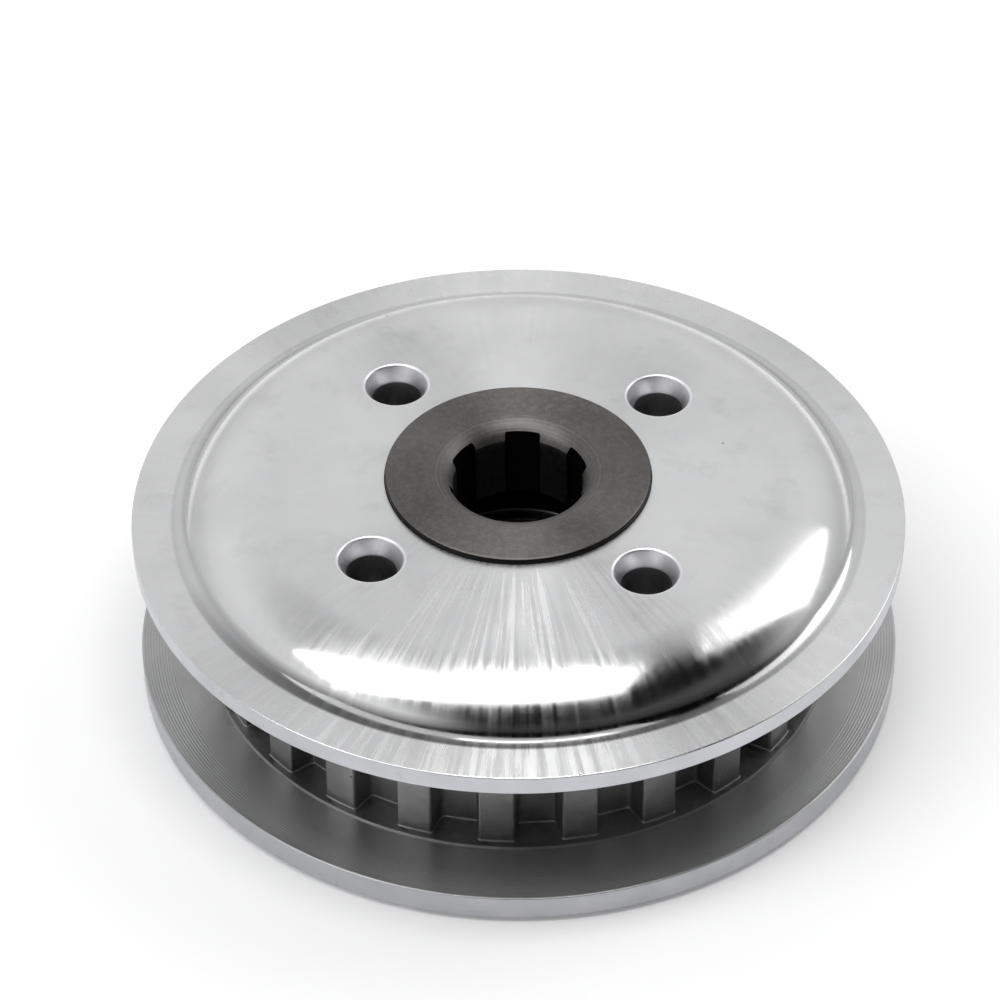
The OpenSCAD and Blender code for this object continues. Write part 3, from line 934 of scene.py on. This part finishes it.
def spring_bolt():
    """An M6 flange bolt: chamfered hexagon, round flange and a rolled thread."""
    n = 96
    seat = POST_END_Z - RETAINER_H
    low, flat_r, corner_r = 0.8, 5.0, 5.66
    shank_r = THREAD_R - 0.02

    def hexagon(z, limit=corner_r):
        ring = []
        for k in range(n):
            a = FULL_TURN * k / n
            off = (a + math.pi / 6) % (math.pi / 3) - math.pi / 6
            r = min(flat_r / math.cos(off), corner_r, limit)
            ring.append((r * math.cos(a), r * math.sin(a), z))
        return ring

    head = ((0.4, low + 0.35), (3.2, low + 0.35), (3.7, low), (4.75, low))
    flange = ((5.75, seat - 1.12), (6.1, seat - 1.0), (6.38, seat - 0.7), (6.4, seat - 0.2), (6.3, seat))
    rings = [circle(r, z, n) for r, z in head]
    rings += [hexagon(low + 0.14 * k, 4.78 + 0.16 * k) for k in range(1, 6)]
    rings += [hexagon(low + 0.9), hexagon(seat - 1.3)]
    rings += [circle(r, z, n) for r, z in flange]
    rings += [circle(shank_r, seat, n), circle(shank_r, seat + 1.5, n)]
    tip_z, pitch, depth = 19.0, 1.0, 0.5
    z = seat + 1.7
    while z < tip_z - 0.2:
        ring = []
        fade = min(1, (z - seat - 1.6) / pitch, (tip_z - z) / 0.8)
        for k in range(n):
            phase = (z / pitch - k / n) % 1
            groove = depth * abs(2 * phase - 1) * max(fade, 0)
            point = 0.55 * max(0, 1 - (tip_z - z) / 0.9)
            r = shank_r - groove - point
            ring.append((r * math.cos(FULL_TURN * k / n), r * math.sin(FULL_TURN * k / n), z))
        rings.append(ring)
        z += pitch / 8
    rings += [circle(2.2, tip_z, n), circle(0.4, tip_z, n)]
    return loft("bolt", rings, closed=False)


# ---- release bearing ----


def race_ring(name, inner, outer, groove_out):
    """A bearing ring with its ball groove; groove_out is true on the inner ring."""
    low, high = RACE_LOW.z, RACE_HIGH.z
    groove = BALL_R + 0.05
    land = outer if groove_out else inner
    depth = abs(BALL_RING_R - land)
    reach = math.degrees(math.acos(depth / groove))
    if groove_out:
        curve = arc(BALL_RING_R, BALL_Z, groove, 180 + reach, 180 - reach, 16)
        corners = [(inner, high, 0.4), (inner, low, 0.4), (outer, low, 0.2), *curve, (outer, high, 0.2)]
    else:
        curve = arc(BALL_RING_R, BALL_Z, groove, reach, -reach, 16)
        corners = [(outer, low, 0.4), (outer, high, 0.4), (inner, high, 0.2), *curve, (inner, low, 0.2)]
    return revolve(name, corners, 256)


def balls():
    made = []
    for i in range(BALLS):
        bm = bmesh.new()
        bmesh.ops.create_icosphere(bm, subdivisions=4, radius=BALL_R * MM)
        mesh = bpy.data.meshes.new("ball")
        bm.to_mesh(mesh)
        bm.free()
        ball = bpy.data.objects.new("ball", mesh)
        bpy.context.scene.collection.objects.link(ball)
        made.append(moved(ball, x=BALL_RING_R, z=BALL_Z, turn_deg=360 / BALLS * i))
    return made


def ball_pockets():
    """The balls a little larger, to cut the cage with."""
    made = balls()
    for o in made:
        centre = sum((v.co for v in o.data.vertices), Vector()) / len(o.data.vertices)
        for v in o.data.vertices:
            v.co = centre + (v.co - centre) * (BALL_R + 0.07) / BALL_R
    return made


def bearing_cage():
    half, inner, outer = 3.2, 8, 10
    cage = revolve("cage", [
        (inner, BALL_Z - half, 0.25), (outer, BALL_Z - half, 0.25),
        (outer, BALL_Z + half, 0.25), (inner, BALL_Z + half, 0.25)
    ], 256)
    cut(cage, "DIFFERENCE", ball_pockets())
    tidy(cage)
    return cage


def circlip():
    """An internal circlip: a ring that widens at both ends into drilled lugs."""
    low, high = CLIP_LOW.z, CLIP_HIGH.z
    outer_r, ring_w, lug_w = 13.75, 1.95, 3.5
    gap, lug, ramp = 22, 14, 7
    steps = 120
    swept = 360 - 2 * gap
    outer, inner = [], []
    for k in range(steps + 1):
        a = math.radians(gap + swept * k / steps)
        from_end = min(k, steps - k) / steps * swept
        width = ring_w
        if from_end < lug:
            width += (lug_w - ring_w) * math.sin(math.pi / 2 * min(1, (lug - from_end) / ramp))
        corner_r = 0.5 if k in (0, steps) else 0
        outer.append((outer_r * math.cos(a), outer_r * math.sin(a), corner_r))
        inner.append(((outer_r - width) * math.cos(a), (outer_r - width) * math.sin(a), corner_r))
    path = fillet(outer + inner[::-1])
    edge = 0.12
    narrow = outset(path, -edge)
    rings = [
        [(x, y, low) for x, y in narrow], [(x, y, low + edge) for x, y in path],
        [(x, y, high - edge) for x, y in path], [(x, y, high) for x, y in narrow]
    ]
    clip = loft("circlip", rings, closed=False)
    holes = []
    for side in (-1, 1):
        hole = revolve("hole", [
            (0.02, low - 1, 0), (0.7, low - 1, 0), (0.7, high + 1, 0), (0.02, high + 1, 0)
        ], 32, closed=False)
        holes.append(moved(hole, x=outer_r - 1.8, turn_deg=side * (gap + 5.5)))
    cut(clip, "DIFFERENCE", holes)
    tidy(clip)
    return clip


def push_piece():
    """A pin through the bearing, with a head on its inner ring and a seat for the push rod."""
    top, low = PUSH_HIGH.z, PUSH_LOW.z
    head = RACE_HIGH.z
    seat_r, seat_depth = 4.1, 1.4
    return revolve("push_pin", [
        (0.05, low, 0), (4.99, low, 0.5), (4.99, head - 0.6, 0), (4.7, head - 0.5, 0.1), (4.7, head, 0.1),
        (8, head, 0.4), (8, top, 0.6), (seat_r, top, 0.3), (seat_r, top - seat_depth, 0.5),
        (0.05, top - seat_depth, 0)
    ], 192, closed=False)


# ---- the object ----


def build_object():
    turned, cast, faced = turned_aluminium(), cast_aluminium(), faced_aluminium()
    # Painted shade: the wheel's rim is a darker copy of the hub's rim finish.
    hub_rim, wheel_rim_painted_shade = rim_aluminium("hub_rim", 0.58), rim_aluminium("wheel_rim_painted_shade", 0.50)
    zinc, ground, wire = zinc_plate(), ground_steel(), spring_wire()

    wheel = pressure_wheel()
    paint(wheel, cast, faced, wheel_rim_painted_shade, pick=wheel_finish)
    cups = [f"spring_cup_{i}" for i in range(1, 5)]
    place(wheel, "wheel", "cast_aluminium", "pressure_wheel", "toothed_drum", *cups)

    hub = hub_casting()
    paint(hub, turned, cast, hub_rim, tumbled_aluminium(), pick=hub_finish)
    place(hub, "hub", "turned_aluminium", "hub_casting")

    boss = splined_boss()
    paint(boss, boss_steel(), bore_steel(), pick=boss_finish)
    place(boss, "hub", "boss_steel", "splined_boss")

    springs, retainers, bolts = at_posts(clutch_spring), at_posts(spring_retainer), at_posts(spring_bolt)
    for i, (spring, retainer, bolt) in enumerate(zip(springs, retainers, bolts), 1):
        spring.name = f"spring_coil_{i}"
        retainer.name = f"retainer_washer_{i}"
        bolt.name = f"flange_bolt_{i}"
        paint(spring, wire)
        paint(retainer, zinc)
        paint(bolt, zinc)
        place(spring, "wheel", "spring_steel", f"clutch_spring_{i}")
        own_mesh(spring)
        place(retainer, "hub", "zinc_steel", f"spring_retainer_{i}")
        place(bolt, "hub", "zinc_steel", f"spring_bolt_{i}")

    outer = race_ring("outer_race", 10.6, RACE_HIGH.x, False)
    paint(outer, ground)
    place(outer, "wheel", "bearing_steel", "bearing_outer_ring")
    inner = race_ring("inner_race", 5.0, 7.4, True)
    paint(inner, ground)
    place(inner, "release", "bearing_steel", "bearing_inner_ring")
    cage = bearing_cage()
    paint(cage, pressed_steel())
    place(cage, "cage", "pressed_steel", "bearing_cage")
    rolling = join("ball_set", balls())
    tidy(rolling)
    paint(rolling, ground)
    place(rolling, "cage", "bearing_steel", "bearing_balls")
    clip = circlip()
    paint(clip, black_steel())
    place(clip, "wheel", "black_spring_steel", "bearing_circlip")
    pusher = push_piece()
    paint(pusher, hardened_steel())
    place(pusher, "release", "hardened_steel", "push_piece")


# ---- stage, light and camera ----


def floor():
    mesh = bpy.data.meshes.new("floor")
    reach = 6.0
    corners = [(-reach, -reach, 0), (reach, -reach, 0), (reach, reach, 0), (-reach, reach, 0)]
    mesh.from_pydata(corners, [], [(0, 1, 2, 3)])
    plane = bpy.data.objects.new("floor", mesh)
    bpy.context.scene.collection.objects.link(plane)
    s = Shader("floor_paper", metallic=0.0)
    s.bsdf.inputs["Specular IOR Level"].default_value = 0.1
    s.bsdf.inputs["Emission Color"].default_value = (1, 1, 1, 1)
    s.bsdf.inputs["Emission Strength"].default_value = 0.12
    mesh.materials.append(s.done((0.93, 0.93, 0.93, 1), 0.9))


def soft_box(name, centre, size, power, turn_deg=None):
    """A soft studio light that faces the object, or faces down where turn_deg turns it about Z."""
    light = bpy.data.lights.new(name, "AREA")
    light.shape = "RECTANGLE"
    light.size, light.size_y = size
    light.energy = power
    lamp = bpy.data.objects.new(name, light)
    lamp.location = centre
    if turn_deg is None:
        aim = Vector((0, 0, LAND_Z * MM)) - Vector(centre)
        lamp.rotation_euler = aim.to_track_quat("-Z", "Y").to_euler()
    else:
        lamp.rotation_euler = (0, 0, math.radians(turn_deg))
    bpy.context.scene.collection.objects.link(lamp)


def studio():
    """A pale room, dark above and behind the camera, with two soft boxes overhead and one at the side."""
    world = bpy.data.worlds.new("studio")
    world.use_nodes = True
    bpy.context.scene.world = world
    tree = world.node_tree

    def node(kind, **settings):
        made = tree.nodes.new(kind)
        for key, value in settings.items():
            setattr(made, key, value)
        return made

    def span(value, low, high, to_low, to_high):
        made = node("ShaderNodeMapRange", interpolation_type="SMOOTHSTEP")
        tree.links.new(value, made.inputs["Value"])
        numbers = (("From Min", low), ("From Max", high), ("To Min", to_low), ("To Max", to_high))
        for key, number in numbers:
            made.inputs[key].default_value = number
        return made.outputs["Result"]

    def toward(azimuth, elevation):
        """Cosine of the angle to a direction; azimuth 0 is the back of the room, 90 its right."""
        a, e = math.radians(azimuth), math.radians(elevation)
        dot = node("ShaderNodeVectorMath", operation="DOT_PRODUCT")
        tree.links.new(direction, dot.inputs[0])
        flat = math.cos(e)
        dot.inputs[1].default_value = (math.sin(a) * flat, math.cos(a) * flat, math.sin(e))
        return dot.outputs["Value"]

    def product(a, b):
        made = node("ShaderNodeMath", operation="MULTIPLY")
        tree.links.new(a, made.inputs[0])
        tree.links.new(b, made.inputs[1])
        return made.outputs[0]

    direction = node("ShaderNodeTexCoord").outputs["Generated"]
    split = node("ShaderNodeSeparateXYZ")
    tree.links.new(direction, split.inputs[0])
    height = split.outputs["Z"]
    # The walls are brightest at the back left and half way up. A dark flag hangs over the camera's
    # right, and what is left of it below gets a little light.
    walls = span(toward(-50, 20), -0.75, 0.45, 0.64, 1.0)
    rising = product(span(height, 0.0, 0.5, 0.62, 0.82), span(height, 0.62, 0.86, 1.0, 0.66))
    flag = span(toward(138, 49), 0.55, 0.85, 1.0, 0.02)
    low = span(height, 0.60, 0.72, 0.08, 0.0)
    back = span(toward(15, 42), 0.80, 0.97, 1.0, 0.95)
    total = node("ShaderNodeMath", operation="MAXIMUM")
    tree.links.new(product(product(walls, back), product(rising, flag)), total.inputs[0])
    tree.links.new(low, total.inputs[1])
    background = tree.nodes["Background"]
    tree.links.new(total.outputs[0], background.inputs["Strength"])
    background.inputs["Color"].default_value = (0.985, 0.99, 1.0, 1)
    soft_box("key", (-0.28, -0.185, 0.75), (1.14, 0.38), 3.4, turn_deg=13)
    soft_box("top", (0.03, 0.0, 0.74), (0.26, 0.16), 0.88, turn_deg=0)
    soft_box("side", (0.57, 0.33, 0.60), (0.40, 0.66), 1.3)


def camera():
    """A long lens, 41 degrees above the floor and a little to the right of the part's Y axis."""
    azimuth, elevation, roll = math.radians(4.43), math.radians(41.0), math.radians(-0.44)
    distance, right_by, down_by = 0.5197, 0.0024, 0.0007
    ca, sa, ce, se = math.cos(azimuth), math.sin(azimuth), math.cos(elevation), math.sin(elevation)
    right = Vector((ca, sa, 0))
    forward = Vector((-sa * ce, ca * ce, -se))
    up = right.cross(forward)
    target = Vector((0, 0, LAND_Z * MM))
    data = bpy.data.cameras.new("camera")
    data.sensor_width = 36
    data.lens = 141.6
    data.clip_start = 0.01
    view = bpy.data.objects.new("camera", data)
    view.location = target - forward * distance - right * right_by + up * down_by
    rolled_right = right * math.cos(roll) + up * math.sin(roll)
    rolled_up = up * math.cos(roll) - right * math.sin(roll)
    matrix = view.matrix_world.copy()
    for i in range(3):
        matrix[i][0], matrix[i][1], matrix[i][2] = rolled_right[i], rolled_up[i], -forward[i]
        matrix[i][3] = view.location[i]
    view.matrix_world = matrix
    bpy.context.scene.collection.objects.link(view)
    bpy.context.scene.camera = view
    bpy.context.scene.view_settings.view_transform = "Standard"


camera()
build_object()
floor()
studio()
